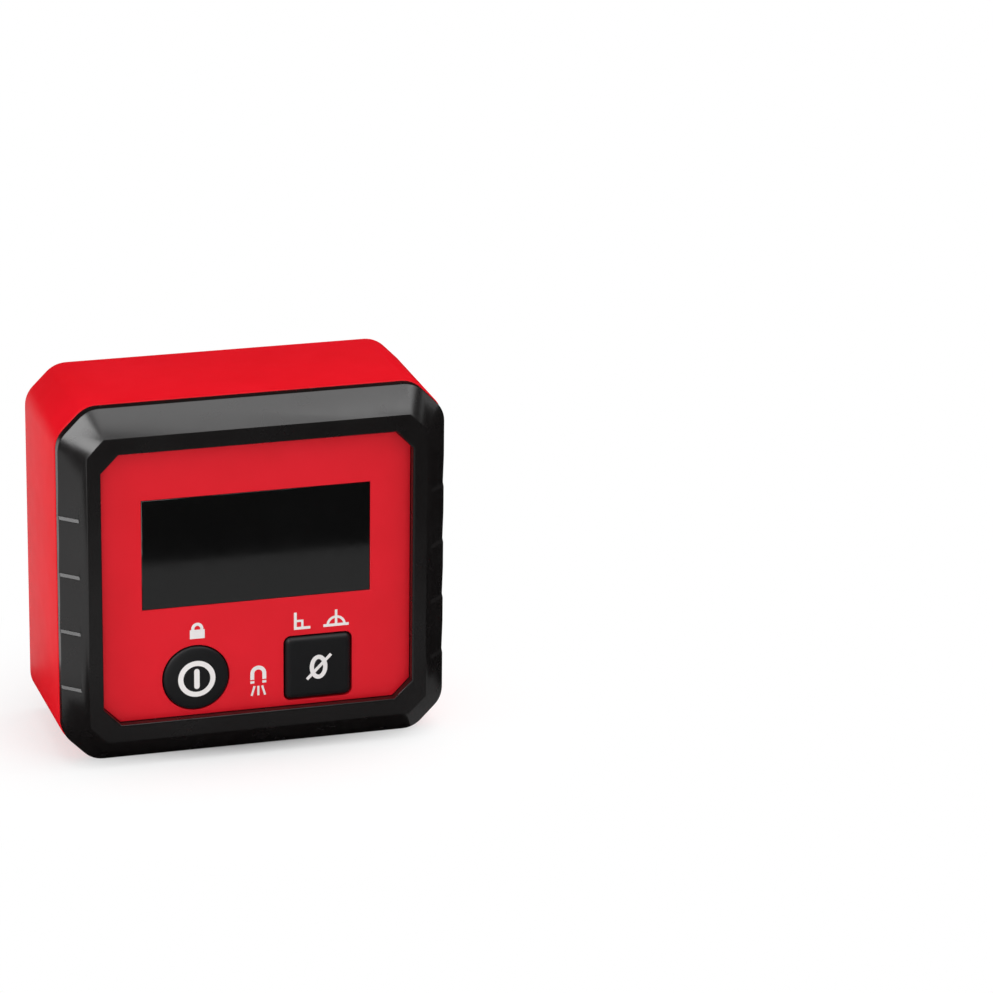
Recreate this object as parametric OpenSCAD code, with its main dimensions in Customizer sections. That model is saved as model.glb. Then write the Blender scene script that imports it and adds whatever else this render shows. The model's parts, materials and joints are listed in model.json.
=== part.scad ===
// Digital angle gauge with a magnetic base: a red housing behind a dark bevelled bezel, a recessed
// face with a display window and two keys, and two cells behind a door at the rear.
// It stands on its base, +Z up. The face looks along -Y, and the origin lies under its middle.

/* [Case] */
// Width of the rear housing
case_w = 62.6; // [60:0.1:75]
// Height of the rear housing
case_h = 58.6; // [56:0.1:72]
// Depth from the bezel's face to the rear face
case_d = 28.7; // [27:0.1:34]
// Leg of the outline's cut corners
corner_cut = 4.9; // [4:0.1:7]
// Rounding of the outline's vertices
corner_r = 4.5; // [1:0.1:5]
// Thickness of the housing's side walls
wall = 2.2; // [1.6:0.1:2.8]
// Thickness of the housing's rear wall
rear_wall = 2.4; // [1.6:0.1:3.2]
// Rounding of the housing's rear edge
rear_edge_r = 1.2; // [0.6:0.1:2]
// Rounding of the housing's front edge
front_edge_r = 0.4; // [0.2:0.1:0.8]

/* [Bezel] */
// How far the housing stands proud of the bezel
bezel_step = 0.15; // [0.1:0.05:0.6]
// Depth of the sloping rim
bevel_depth = 3.6; // [2.6:0.1:4.4]
// Width of the sloping rim at the sides
bevel_side = 3.75; // [3:0.05:5]
// Width of the sloping rim at the top and bottom
bevel_top = 3.95; // [3:0.05:5]
// Leg of the cut corners on the flat face
face_cut = 2.8; // [1.5:0.1:4]
// Depth of the straight edge behind the slope
bezel_edge = 1.8; // [1:0.1:3]
// Length of the lip that enters the housing
lip_l = 2.5; // [1.5:0.1:3]
// Thickness of the lip
lip_t = 1.4; // [1:0.1:1.8]
// Gap between the lip and the housing
lip_gap = 0.15; // [0.05:0.05:0.3]

/* [Grips] */
// Number of grip steps on each side
grip_count = 4; // [2:1:4]
// Distance between grip steps
grip_pitch = 9.4; // [7:0.1:10]
// Height of a step, from the foot of its ledge to where it runs out above
grip_h = 5.2; // [3:0.1:6]
// Depth of a step below the slope, at the top of its ledge
grip_depth = 0.35; // [0.2:0.05:0.8]
// Height of the sloping ledge under a step
grip_ledge = 0.55; // [0.3:0.05:1]
// Length of a step, measured along the slope from its outer edge
grip_w = 3.8; // [2.5:0.1:4.5]
// Length of the sloping wall at the inner end of a step
grip_end = 0.35; // [0.2:0.05:0.8]
// Height of the lowest ledge above the base
grip_low = 12.65; // [11:0.05:16]

/* [Face] */
// Width of the flat border at the sides of the face
border_side = 2.3; // [1.5:0.05:3]
// Width of the flat border above and below the face
border_top = 2.75; // [1.5:0.05:3.5]
// Leg of the face panel's cut corners
panel_cut = 2.85; // [1.5:0.05:4]
// Depth of the face panel below the bezel's face
panel_recess = 1.65; // [1.5:0.05:2.2]
// Thickness of the face panel
panel_t = 1.6; // [1:0.1:2]
// Gap round the face panel and the lens
panel_gap = 0.05; // [0.02:0.01:0.15]
// Thickness of the bezel's floor behind the face panel
floor_t = 1.5; // [1:0.1:2]
// Distance from the display window to the sides of the face panel's opening
window_side = 6.6; // [5:0.1:9]
// Distance from the window to the top of that opening
window_top = 8.3; // [5:0.05:11]
// Distance from the window to the keys below it
window_gap = 6.8; // [5:0.05:9]
// Border of the lens that rests on the floor
lens_rest = 1.1; // [0.6:0.1:2]

/* [Keys] */
// Distance between the two keys' middles
key_spread = 19.9; // [17:0.1:24]
// Distance from the square key to the bottom of the face panel's opening
key_low = 1.1; // [0.8:0.05:2]
// Diameter of the round power key
power_d = 10.5; // [8:0.1:12]
// Rise of the power key above the face panel
power_rise = 0.7; // [0.5:0.1:1.5]
// Width of the square zero key
zero_w = 10.8; // [8:0.1:12]
// Height of the square zero key
zero_h = 10.5; // [8:0.1:11.5]
// Rounding of the zero key's corners
zero_r = 1; // [0.6:0.1:2]
// Rounding of the zero key's top edge
zero_edge_r = 1; // [0.5:0.1:1.2]
// Rise of the zero key above the face panel
zero_rise = 0.5; // [0.4:0.1:1.5]
// Gap between a key and the hole that guides it
key_gap = 0.2; // [0.1:0.05:0.3]
// Width of the flange that keeps a key in the case
flange_w = 1.2; // [0.8:0.1:1.6]
// Thickness of that flange
flange_t = 0.8; // [0.5:0.1:1]
// Gap between the flange and the floor in front of it
flange_gap = 0.1; // [0.05:0.05:0.2]
// Travel of a key
key_travel = 0.5; // [0.25:0.05:0.6]
// Diameter of the stem behind a key
stem_d = 3; // [2:0.1:4]

/* [Display] */
// Reach of the display glass past each side of the window
glass_side = 0.65; // [0.4:0.05:1]
// Reach of the front glass past the window's top and bottom
glass_top = 1; // [0.6:0.05:1.5]
// Thickness of each glass plate
glass_t = 1.1; // [0.9:0.05:1.3]
// Height of the contact ledges above and below the rear glass
glass_ledge = 1.8; // [1.5:0.1:2.2]
// Thickness of the light guide
guide_t = 1.6; // [1.4:0.1:2]
// Length left at each end of the light guide for its lamp
lamp_space = 1.1; // [1:0.1:1.5]
// Wall of the holder round the glass
holder_t = 1.2; // [0.8:0.1:1.4]
// Gap between the display's own pieces
display_gap = 0.1; // [0.05:0.05:0.15]

/* [Circuit board] */
// Thickness of the circuit board
board_t = 1.2; // [0.8:0.1:1.6]
// Gap between the board and the housing's side walls
board_side = 3; // [2.6:0.1:3.6]
// Height of the board's lower edge above the housing's bottom
board_low = 8.5; // [8:0.1:9.5]
// Gap between the board's upper edge and the housing's top
board_top = 4.7; // [4:0.1:6]
// Leg of the board's cut corners
board_cut = 7.6; // [7.2:0.1:9]
// Distance from the board's side edge to its screws
board_screw_side = 2.8; // [2.4:0.1:3]
// Distance from the board's upper edge to its upper screws
board_screw_top = 10.5; // [10:0.1:12]
// Distance from the board's lower edge to its lower screws
board_screw_low = 12.5; // [10:0.1:13]
// Width of a switch under a key
switch_w = 6; // [5:0.1:7]
// Height of a switch above the board
switch_h = 1.6; // [1.4:0.1:2]
// Diameter of a switch plunger
plunger_d = 3.4; // [2.5:0.1:4]
// Running gap round a switch plunger
plunger_gap = 0.08; // [0.05:0.01:0.1]
// Rise of the plunger that is left when a key is fully pressed
plunger_left = 0.2; // [0.1:0.05:0.3]
// Length of the plunger inside its switch
plunger_in = 0.6; // [0.5:0.1:0.7]
// Width of the controller chip
chip_w = 7; // [5:0.1:9]
// Share of the space behind the board that the chip fills
chip_share = 0.37; // [0.2:0.01:0.5]
// Number of leads on each side of the controller chip
chip_leads = 8; // [4:1:10]
// Width of the tilt sensor
sensor_w = 5.2; // [3:0.1:7]
// Share of the space behind the board that the tilt sensor fills
sensor_share = 0.45; // [0.2:0.01:0.6]
// Number of small capacitors beside the chip
capacitor_count = 6; // [3:1:8]
// Length of a small capacitor
capacitor_l = 2; // [1:0.1:2.4]
// Share of the space behind the board that a capacitor fills
capacitor_share = 0.26; // [0.1:0.01:0.4]

/* [Cells] */
// Diameter of a cell
cell_d = 10.5; // [10:0.1:10.6]
// Length of a cell with its nub
cell_l = 44.5; // [43.5:0.1:45]
// Diameter of the nub
nub_d = 3.8; // [3:0.1:4.2]
// Length of the nub
nub_l = 1; // [0.8:0.1:1.4]
// Gap between the two cells
cell_gap = 0.8; // [0.5:0.1:1.5]
// Gap between a cell and the bay's sides
cell_clear = 0.35; // [0.2:0.05:0.6]
// Gap between a cell and the bay's floor
cell_rest = 0.2; // [0.1:0.05:0.3]
// Height of the bay's middle above the middle of the case
bay_rise = 1.75; // [1:0.05:2.2]
// Wall of the battery bay
bay_wall = 1.4; // [1:0.1:1.6]
// Thickness of the contact plates
contact_t = 0.4; // [0.3:0.05:0.5]
// Height of a contact plate along Z
contact_h = 9; // [6:0.1:10]
// Width of a contact plate along Y
contact_w = 7; // [6:0.1:7.4]
// Rise of the dimple that meets a nub
dimple_h = 0.6; // [0.4:0.05:0.8]
// Gap between a contact and its cell
contact_gap = 0.05; // [0.02:0.01:0.1]
// Width of the tails that reach the circuit board
tail_w = 3; // [2:0.1:4]
// Gap round a tail where it passes the bay's floor
tail_gap = 0.3; // [0.2:0.05:0.5]
// Length of a contact spring
spring_l = 4.5; // [3.5:0.1:5]
// Diameter of the spring's wire
spring_wire = 0.6; // [0.4:0.05:0.8]
// Diameter of the spring's widest coil, at the middle of the wire
spring_d = 6.2; // [5:0.1:6.4]
// Diameter of the spring's last coil, at the middle of the wire
spring_tip_d = 3.8; // [3:0.1:5]
// Number of coils
spring_turns = 3.5; // [2.5:0.5:4.5]

/* [Door] */
// Thickness of the battery door
door_t = 2; // [1.6:0.1:2.4]
// Gap round the door
door_gap = 0.25; // [0.15:0.05:0.4]
// Overlap of the door past the bay at each side
door_side = 2.4; // [1.6:0.1:2.8]
// Overlap of the door past the bay above and below
door_top = 5.8; // [5.4:0.1:6]
// Rounding of the door's corners
door_r = 3; // [1:0.1:4]
// Thickness of the housing under the door's edge
ledge_t = 1.6; // [1:0.1:2]
// Length of the rib that enters the bay
spigot_l = 1.4; // [0.8:0.1:1.6]
// Thickness of that rib
spigot_t = 1.1; // [0.8:0.1:1.2]
// Diameter of the bosses under the door's screws
door_boss_d = 5.4; // [4.6:0.1:5.8]

/* [Base] */
// How far the metal base stands below the housing
base_proud = 0.2; // [0.1:0.05:0.5]
// Length of the base plate along X
base_w = 46; // [44:0.1:48]
// Width of the base plate along Y
base_l = 15; // [12:0.1:15.5]
// Thickness of the base plate
base_t = 3; // [2.6:0.1:3.6]
// Rounding of the base plate's corners
base_r = 2; // [1:0.1:3]
// Gap round the base plate
base_gap = 0.1; // [0.05:0.05:0.2]
// Wall of the housing round and above the base plate
base_wall = 1.3; // [1:0.1:1.5]
// Distance of the base plate's middle behind the middle of the housing's bottom
base_back = 0.4; // [0.2:0.1:0.8]
// Thickness of a magnet
magnet_t = 2.2; // [1.5:0.1:2.3]
// Metal left between two magnets, and between a magnet and a screw's head
magnet_web = 1; // [0.6:0.1:2]
// Depth of a magnet below the base plate's face
magnet_recess = 0.1; // [0.05:0.05:0.2]
// Gap round a magnet
magnet_gap = 0.05; // [0.02:0.01:0.1]
// Distance from the base plate's end to its screw
base_screw_end = 2.5; // [2.3:0.1:2.6]

/* [Screws] */
// Distance of the case screws from the housing's sides
screw_side = 5.9; // [5.7:0.1:6.2]
// Distance of the upper case screws from the housing's top
screw_top = 6.9; // [6.4:0.1:7]
// Distance of the lower case screws from the housing's bottom
screw_low = 10; // [9.6:0.1:10.4]
// Diameter of a case screw
screw_d = 2.4; // [2:0.1:2.6]
// Diameter of a case screw's head
screw_head_d = 4.6; // [4:0.1:4.8]
// Height of a case screw's head
screw_head_h = 1.8; // [1.2:0.1:2.2]
// Length of a case screw in the bezel's boss
screw_grip = 6; // [4:0.1:6.2]
// Thickness of the housing under a case screw's head
screw_seat = 3; // [2:0.1:4]
// Diameter of the bezel's screw bosses
boss_d = 5.8; // [5:0.1:6]
// Diameter of the housing's screw columns
column_d = 7.4; // [6.8:0.1:8]
// Length of a boss past the circuit board
boss_past_board = 2.2; // [1.8:0.1:2.6]
// Diameter of a board screw
board_screw_d = 1.8; // [1.4:0.1:2]
// Diameter of a board screw's head
board_head_d = 3.4; // [3:0.1:3.6]
// Share of the space behind the board that a board screw's head fills
board_head_share = 0.34; // [0.2:0.01:0.4]
// Length of a board screw in the bezel's standoff
board_screw_grip = 3; // [2:0.1:3.2]
// Diameter of the bezel's standoffs
standoff_d = 4.2; // [3.6:0.1:4.4]
// Diameter of the door screws and the base screws
small_screw_d = 2.2; // [1.8:0.1:2.4]
// Diameter of their sunk heads
small_head_d = 4; // [3.6:0.1:4.2]
// Height of their sunk heads
small_head_h = 1.1; // [0.8:0.1:1.2]
// Length of a door screw or base screw past the piece it holds
small_screw_grip = 4.5; // [3:0.1:5]
// Gap round a screw in its hole
screw_gap = 0.06; // [0.03:0.01:0.1]
// Gap round a screw that slides out with the door
slide_gap = 0.15; // [0.1:0.05:0.25]

/* [Hidden] */
$fn = 64;

// Reach of a cut past the face that it opens
past = 1;
// Depth by which one solid enters another that it is moulded with
root = 0.5;
// Thickness of the slices that a blend runs through
slice = 0.01;
// Arc steps at each rounded vertex
arc_steps = 6;
// Inward offset of an outline shortens the leg of its cut corners by this share
cut_share = 2 - sqrt(2);

// Planes along Y, from the face to the rear
y_front = -case_d / 2;
y_rear = case_d / 2;
y_rim = y_front + bevel_depth;
y_split = y_rim + bezel_edge;
y_panel = y_front + panel_recess;
y_floor = y_panel + panel_t;
y_floor_back = y_floor + floor_t;
y_glass_step = y_floor_back + glass_t;
y_glass_back = y_glass_step + glass_t;
y_board = y_glass_back + guide_t;
y_board_back = y_board + board_t;
y_joint = y_board_back + boss_past_board;
y_seat = y_joint + screw_seat;
y_flange = y_floor_back + flange_gap;
y_flange_back = y_flange + flange_t;
y_switch = y_board - switch_h;
y_plunger = y_switch - plunger_left - key_travel;
y_door = y_rear - door_t;
y_ledge = y_door - ledge_t;
y_cell = y_door - cell_clear - cell_d / 2;
y_bay = y_cell - cell_d / 2 - cell_rest;
y_bay_front = y_bay - bay_wall;
y_base = (y_split + y_rear) / 2 + base_back;

// Outlines and heights
mid_z = base_proud + case_h / 2;
bezel_w = case_w - 2 * bezel_step;
bezel_h = case_h - 2 * bezel_step;
face_w = bezel_w - 2 * bevel_side;
face_h = bezel_h - 2 * bevel_top;
opening_w = face_w - 2 * border_side;
opening_h = face_h - 2 * border_top;
bevel_angle = atan2(bevel_depth, bevel_side);
cavity_inset = wall + lip_gap + lip_t;
window_w = opening_w - 2 * window_side;
window_h = opening_h - window_top - window_gap - zero_h - key_low;
window_z = mid_z + opening_h / 2 - window_top - window_h / 2;
key_z = mid_z - opening_h / 2 + key_low + zero_h / 2;
glass_w = window_w + 2 * glass_side;
glass_h = window_h + 2 * glass_top;
power_x = -key_spread / 2;
zero_x = key_spread / 2;

// Space between the board and the battery bay
board_room = y_bay_front - y_board_back;

// Board and its screws
board_w = case_w - 2 * (wall + board_side);
board_h = case_h - board_low - board_top;
board_z = base_proud + board_low + board_h / 2;
board_screw_x = board_w / 2 - board_screw_side;
board_spots = [
    for (side = [-1, 1])
        for (z = [board_z + board_h / 2 - board_screw_top, board_z - board_h / 2 + board_screw_low])
            [side * board_screw_x, z]
];

// Case screws
screw_x = case_w / 2 - screw_side;
screw_spots = [
    for (side = [-1, 1])
        for (z = [base_proud + case_h - screw_top, base_proud + screw_low])
            [side * screw_x, z]
];

// Battery bay, cells and door
bay_z = mid_z + bay_rise;
bay_l = cell_l + 2 * contact_t + dimple_h + 2 * contact_gap + spring_l;
bay_h = 2 * (cell_d + cell_clear) + cell_gap;
cell_rise = (cell_d + cell_gap) / 2;
nub_x = bay_l / 2 - contact_t - dimple_h - contact_gap;
plate_x = bay_l / 2 - contact_t;
door_w = bay_l + 2 * door_side;
door_h = bay_h + 2 * door_top;
door_screw_z = bay_h / 2 + door_top / 2 + root / 2;

// Base
base_screw_x = base_w / 2 - base_screw_end;
magnet_pitch = (2 * base_screw_x - small_head_d - magnet_web) / 4;
magnet_d = magnet_pitch - magnet_web;

// Vertex i of an octagon with cut corners, counted from the right side upwards
function octagon_vertex(w, h, cut, i) =
    let (a = w / 2, b = h / 2)
    [[a, b - cut], [a - cut, b], [cut - a, b], [-a, b - cut],
     [-a, cut - b], [cut - a, -b], [a - cut, -b], [a, cut - b]][i];

// Octagon with cut corners and rounded vertices
function octagon(w, h, cut, r) = [
    for (i = [0:7])
        let (vertex = octagon_vertex(w, h, cut, i), middle = 45 * i + 22.5)
        let (centre = vertex - r / cos(22.5) * [cos(middle), sin(middle)])
        for (k = [0:(r > 0 ? arc_steps : 0)])
            let (turn = 45 * i + 45 * k / arc_steps)
            centre + r * [cos(turn), sin(turn)]
];

// Half profile of a dome that falls steeply at its edge
function dome(r, rise, steps) = [
    for (k = [0:steps])
        let (turn = 90 * k / steps)
        [r * pow(sin(turn), 0.8), rise * pow(cos(turn), 0.8)]
];

// Rings of a conical coil along X, each ring a circle of points round the wire
function coil_points(length, wide, narrow, wire, turns, rings, sides) = [
    for (i = [0:rings])
        let (share = i / rings, turn = 360 * turns * share)
        let (r = (wide + (narrow - wide) * share) / 2)
        for (k = [0:sides - 1])
            let (out = r + wire / 2 * cos(360 * k / sides))
            [length * share - wire / 2 * sin(360 * k / sides), out * cos(turn), out * sin(turn)]
];

// Faces of a tube made of rings, with both ends closed
function tube_faces(rings, sides) = concat(
    [[for (k = [0:sides - 1]) k]],
    [for (i = [0:rings - 1])
        for (k = [0:sides - 1])
            let (next = (k + 1) % sides)
            [i * sides + k, (i + 1) * sides + k, (i + 1) * sides + next, i * sides + next]],
    [[for (k = [sides - 1:-1:0]) rings * sides + k]]
);

// Outline drawn in X and Z, made solid from y0 to y1
module slab(y0, y1) {
    translate([0, y1, 0])
        rotate([90, 0, 0])
            linear_extrude(y1 - y0)
                children();
}

// Round bar along Y
module rod(spot, y0, y1, d) {
    translate([spot[0], y1, spot[1]])
        rotate([90, 0, 0])
            cylinder(h = y1 - y0, d = d);
}

// Box given by its middle in X and Z and its reach along Y
module block(x, z, w, h, y0, y1) {
    translate([x - w / 2, y0, z - h / 2])
        cube([w, y1 - y0, h]);
}

// Rectangle with round corners
module round_rect(w, h, r) {
    hull()
        for (x = [-1, 1], y = [-1, 1])
            translate([x * (w / 2 - r), y * (h / 2 - r)])
                circle(r, $fn = 32);
}

// Outline of the case, set in by a distance
module case_outline(inset) {
    translate([0, mid_z])
        polygon(octagon(case_w - 2 * inset, case_h - 2 * inset,
            corner_cut - inset * cut_share, max(corner_r - inset, 0)));
}

// Outline of the panel opening, set in by a distance
module panel_outline(inset) {
    translate([0, mid_z])
        polygon(octagon(opening_w - 2 * inset, opening_h - 2 * inset, panel_cut - inset * cut_share, 0));
}

// Outline of the display window, set in by a distance
module window_outline(inset) {
    translate([0, window_z])
        square([window_w - 2 * inset, window_h - 2 * inset], center = true);
}

// Outline of the zero key, set in by a distance
module zero_outline(inset) {
    translate([zero_x, key_z])
        round_rect(zero_w - 2 * inset, zero_h - 2 * inset, max(zero_r - inset, 0.2));
}

// Outline of the door, set in by a distance
module door_outline(inset) {
    translate([0, bay_z])
        round_rect(door_w - 2 * inset, door_h - 2 * inset, door_r - inset);
}

// Cross recess for a screwdriver, cut into a head that looks along +Z
module cross_recess(d, depth) {
    for (turn = [0, 90])
        rotate(turn)
            translate([-d / 2, -d / 8, -depth])
                cube([d, d / 4, depth + past]);
}

// Screw along +Z with a cylinder head above its seat at zero
module pan_screw(d, l, head_d, head_h) {
    difference() {
        union() {
            cylinder(h = head_h, d = head_d);
            translate([0, 0, -l])
                cylinder(h = l + root, d = d);
        }
        translate([0, 0, head_h])
            cross_recess(head_d * 0.6, head_h * 0.6);
    }
}

// Screw along +Z with a sunk head whose top is at zero
module sunk_screw(l) {
    difference() {
        union() {
            translate([0, 0, -small_head_h])
                cylinder(h = small_head_h, d1 = small_screw_d, d2 = small_head_d);
            translate([0, 0, -l])
                cylinder(h = l - small_head_h + root / 2, d = small_screw_d);
        }
        cross_recess(small_head_d * 0.6, small_head_h * 0.7);
    }
}

// Space for a sunk screw with a gap all round
module sunk_hole(l, gap) {
    translate([0, 0, -small_head_h])
        cylinder(h = small_head_h, d1 = small_screw_d + 2 * gap, d2 = small_head_d + 2 * gap);
    translate([0, 0, -l])
        cylinder(h = l, d = small_screw_d + 2 * gap);
}

// Children set with their +Z along +Y
module facing_rear(x, y, z) {
    translate([x, y, z])
        rotate([-90, 0, 0])
            children();
}

// Ring of the case outline at a place along Y, set in by a distance
function case_ring(inset, y) = [
    for (p = octagon(case_w - 2 * inset, case_h - 2 * inset,
            corner_cut - inset * cut_share, max(corner_r - inset, root / 10)))
        [p[0], y, mid_z + p[1]]
];

// Outer form of the housing: a loft whose rear and front edges are rounded
module housing_form() {
    rings = concat(
        [for (turn = [0:18:90])
            case_ring(rear_edge_r * (1 - sin(turn)), y_rear - rear_edge_r * (1 - cos(turn)))],
        [for (turn = [90:-30:0])
            case_ring(front_edge_r * (1 - sin(turn)), y_split + front_edge_r * (1 - cos(turn)))]
    );
    polyhedron([for (ring = rings) each ring], tube_faces(len(rings) - 1, len(rings[0])));
}

// Walls and ribs inside the housing
module housing_ribs() {
    // Pad behind the rear wall, under the door's edge
    slab(y_ledge, y_rear - rear_wall + root)
        door_outline(-door_gap - bay_wall);
    // Battery bay
    block(0, bay_z, bay_l + 2 * bay_wall, bay_h + 2 * bay_wall, y_bay_front, y_ledge + root);
    // Columns of the case screws
    for (spot = screw_spots)
        rod(spot, y_joint, y_rear - rear_wall + root, column_d);
    // Bosses of the door screws
    for (side = [-1, 1])
        rod([0, bay_z + side * door_screw_z], y_door - small_screw_grip - past,
            y_ledge + root, door_boss_d);
    // Pocket of the base plate and its screw bosses
    translate([0, y_base, base_proud + root])
        linear_extrude(base_t + base_wall - base_proud - root)
            square([base_w, base_l] + 2 * (base_gap + base_wall) * [1, 1], center = true);
    for (side = [-1, 1])
        translate([side * base_screw_x, y_base, base_t])
            cylinder(h = small_screw_grip + past, d = small_head_d + base_wall);
}

module rear_housing() {
    color("crimson")
        difference() {
            union() {
                difference() {
                    housing_form();
                    slab(y_split - past, y_rear - rear_wall)
                        case_outline(wall);
                }
                housing_ribs();
            }
            // Rebate of the door and the bay behind it
            slab(y_door, y_rear + past)
                door_outline(-door_gap);
            block(0, bay_z, bay_l, bay_h, y_bay, y_rear);
            // Slots for the tails of the two end contacts
            for (side = [-1, 1])
                block(plate_x + contact_t / 2, bay_z + side * cell_rise,
                    contact_t + 2 * tail_gap, tail_w + 2 * tail_gap, y_bay_front - past, y_bay + past);
            // Case screws: shank holes and head wells
            for (spot = screw_spots) {
                rod(spot, y_joint - past, y_seat + past, screw_d + 4 * screw_gap);
                rod(spot, y_seat, y_rear + past, screw_head_d + 8 * screw_gap);
            }
            // Pilot holes of the door screws
            for (side = [-1, 1])
                rod([0, bay_z + side * door_screw_z], y_door - small_screw_grip - root,
                    y_rear, small_screw_d + 2 * slide_gap);
            // Pocket of the base plate and the pilot holes of its screws
            translate([0, y_base, base_proud - past])
                linear_extrude(base_t - base_proud + past)
                    round_rect(base_w + 2 * base_gap, base_l + 2 * base_gap, base_r + base_gap);
            for (side = [-1, 1])
                translate([side * base_screw_x, y_base, 0])
                    cylinder(h = base_t + small_screw_grip + root, d = small_screw_d + 2 * screw_gap);
        }
}

// Wedge that cuts one grip step. X runs inwards along the slope, Y runs into the bezel and Z runs up
module grip_wedge() {
    over = grip_depth / 4;
    foot = -grip_ledge * over / grip_depth;
    head = grip_h + (grip_h - grip_ledge) * over / grip_depth;
    inner = grip_w + grip_end * over / grip_depth;
    polyhedron([
        [-grip_w, -over, foot], [-grip_w, grip_depth, grip_ledge], [-grip_w, -over, head],
        [inner, -over, foot], [grip_w - grip_end, grip_depth, grip_ledge], [inner, -over, head]
    ], tube_faces(1, 3));
}

// Grip steps in the slope at the left: each runs in deeper downwards and ends on a sloping ledge
module grip_steps() {
    for (i = [0:grip_count - 1])
        translate([-bezel_w / 2, y_rim, base_proud + grip_low + i * grip_pitch])
            rotate([0, 0, -bevel_angle])
                grip_wedge();
}

// Sloping rim of the bezel, from the rounded outline to the sharp flat face
module bezel_form() {
    hull() {
        slab(y_front, y_front + slice)
            translate([0, mid_z])
                polygon(octagon(face_w, face_h, face_cut, 0));
        slab(y_rim, y_split)
            case_outline(bezel_step);
    }
}

module front_bezel() {
    color([0.12, 0.12, 0.12])
        difference() {
            union() {
                difference() {
                    union() {
                        bezel_form();
                        slab(y_floor_back - root, y_split + lip_l)
                            case_outline(wall + lip_gap);
                    }
                    slab(y_floor_back, y_split + lip_l + past)
                        case_outline(cavity_inset);
                }
                for (spot = screw_spots)
                    rod(spot, y_floor_back - root, y_joint, boss_d);
                for (spot = board_spots)
                    rod(spot, y_floor_back - root, y_board, standoff_d);
            }
            // Recess of the face panel, display aperture and key holes
            slab(y_front - past, y_floor)
                panel_outline(0);
            slab(y_floor - past, y_floor_back + past)
                window_outline(lens_rest);
            rod([power_x, key_z], y_floor - past, y_floor_back + past, power_d + 2 * key_gap);
            slab(y_floor - past, y_floor_back + past)
                zero_outline(-key_gap);
            grip_steps();
            mirror([1, 0, 0])
                grip_steps();
            // Pilot holes
            for (spot = screw_spots)
                rod(spot, y_joint - screw_grip - root, y_joint + past, screw_d + 2 * screw_gap);
            for (spot = board_spots)
                rod(spot, y_board - board_screw_grip - root, y_board + past,
                    board_screw_d + 2 * screw_gap);
        }
}

module face_panel() {
    color([0.82, 0.1, 0.16])
        difference() {
            slab(y_panel, y_floor)
                panel_outline(panel_gap);
            slab(y_panel - past, y_floor + past)
                window_outline(0);
            rod([power_x, key_z], y_panel - past, y_floor + past, power_d + 2 * key_gap);
            slab(y_panel - past, y_floor + past)
                zero_outline(-key_gap);
        }
}

module display_lens() {
    color([0.04, 0.04, 0.05])
        slab(y_panel, y_floor)
            window_outline(panel_gap);
}

module power_button() {
    r = power_d / 2;
    color([0.1, 0.1, 0.11])
        translate([power_x, y_panel, key_z])
            rotate([90, 0, 0])
                rotate_extrude()
                    polygon(concat(dome(r, power_rise, 12), [
                        [r, y_panel - y_flange],
                        [r + flange_w, y_panel - y_flange],
                        [r + flange_w, y_panel - y_flange_back],
                        [stem_d / 2, y_panel - y_flange_back],
                        [stem_d / 2, y_panel - y_plunger],
                        [0, y_panel - y_plunger]
                    ]));
}

module zero_button() {
    color([0.1, 0.1, 0.11]) {
        hull() {
            slab(y_panel - zero_rise + zero_edge_r, y_flange + root)
                zero_outline(0);
            for (turn = [22.5:22.5:90]) {
                y = y_panel - zero_rise + zero_edge_r * (1 - sin(turn));
                slab(y, y + slice)
                    zero_outline(zero_edge_r * (1 - cos(turn)));
            }
        }
        slab(y_flange, y_flange_back)
            zero_outline(-flange_w);
        rod([zero_x, key_z], y_flange, y_plunger, stem_d);
    }
}

module lcd_cell() {
    color([0.55, 0.6, 0.55]) {
        block(0, window_z, glass_w, glass_h, y_floor_back, y_glass_step);
        block(0, window_z, glass_w, glass_h - 2 * glass_ledge, y_glass_step - root, y_glass_back);
    }
}

module lcd_frame() {
    inner_w = glass_w + 2 * display_gap;
    inner_h = glass_h + 2 * display_gap;
    color([0.15, 0.15, 0.16])
        difference() {
            block(0, window_z, inner_w + 2 * holder_t, inner_h + 2 * holder_t, y_floor_back, y_board);
            block(0, window_z, inner_w, inner_h, y_floor_back - past, y_board + past);
        }
}

module light_guide() {
    color([0.92, 0.95, 0.92])
        block(0, window_z, glass_w - 2 * lamp_space, glass_h - 2 * glass_ledge - 2 * display_gap,
            y_glass_back, y_board);
}

module backlight_leds() {
    lamp_w = lamp_space - 2 * display_gap;
    color([0.95, 0.95, 0.8])
        for (side = [-1, 1])
            block(side * (glass_w / 2 - lamp_space / 2), window_z, lamp_w, 3 * lamp_w,
                y_board - guide_t * 0.8, y_board);
}

// Conductive strip between a contact ledge of the glass and the board
module zebra_strip(side) {
    color([0.35, 0.25, 0.3])
        block(0, window_z + side * (glass_h - glass_ledge) / 2, glass_w - 2 * lamp_space,
            glass_ledge - 2 * display_gap, y_glass_step, y_board);
}

module zebra_upper() {
    zebra_strip(1);
}

module zebra_lower() {
    zebra_strip(-1);
}

module main_pcb() {
    color([0.08, 0.36, 0.2])
        difference() {
            slab(y_board, y_board_back)
                translate([0, board_z])
                    polygon(octagon(board_w, board_h, board_cut, 0));
            for (spot = board_spots)
                rod(spot, y_board - past, y_board_back + past, board_screw_d + 4 * screw_gap);
        }
}

module pcb_screws() {
    color("silver")
        for (spot = board_spots)
            facing_rear(spot[0], y_board_back, spot[1])
                pan_screw(board_screw_d, board_t + board_screw_grip, board_head_d,
                    board_room * board_head_share);
}

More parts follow.
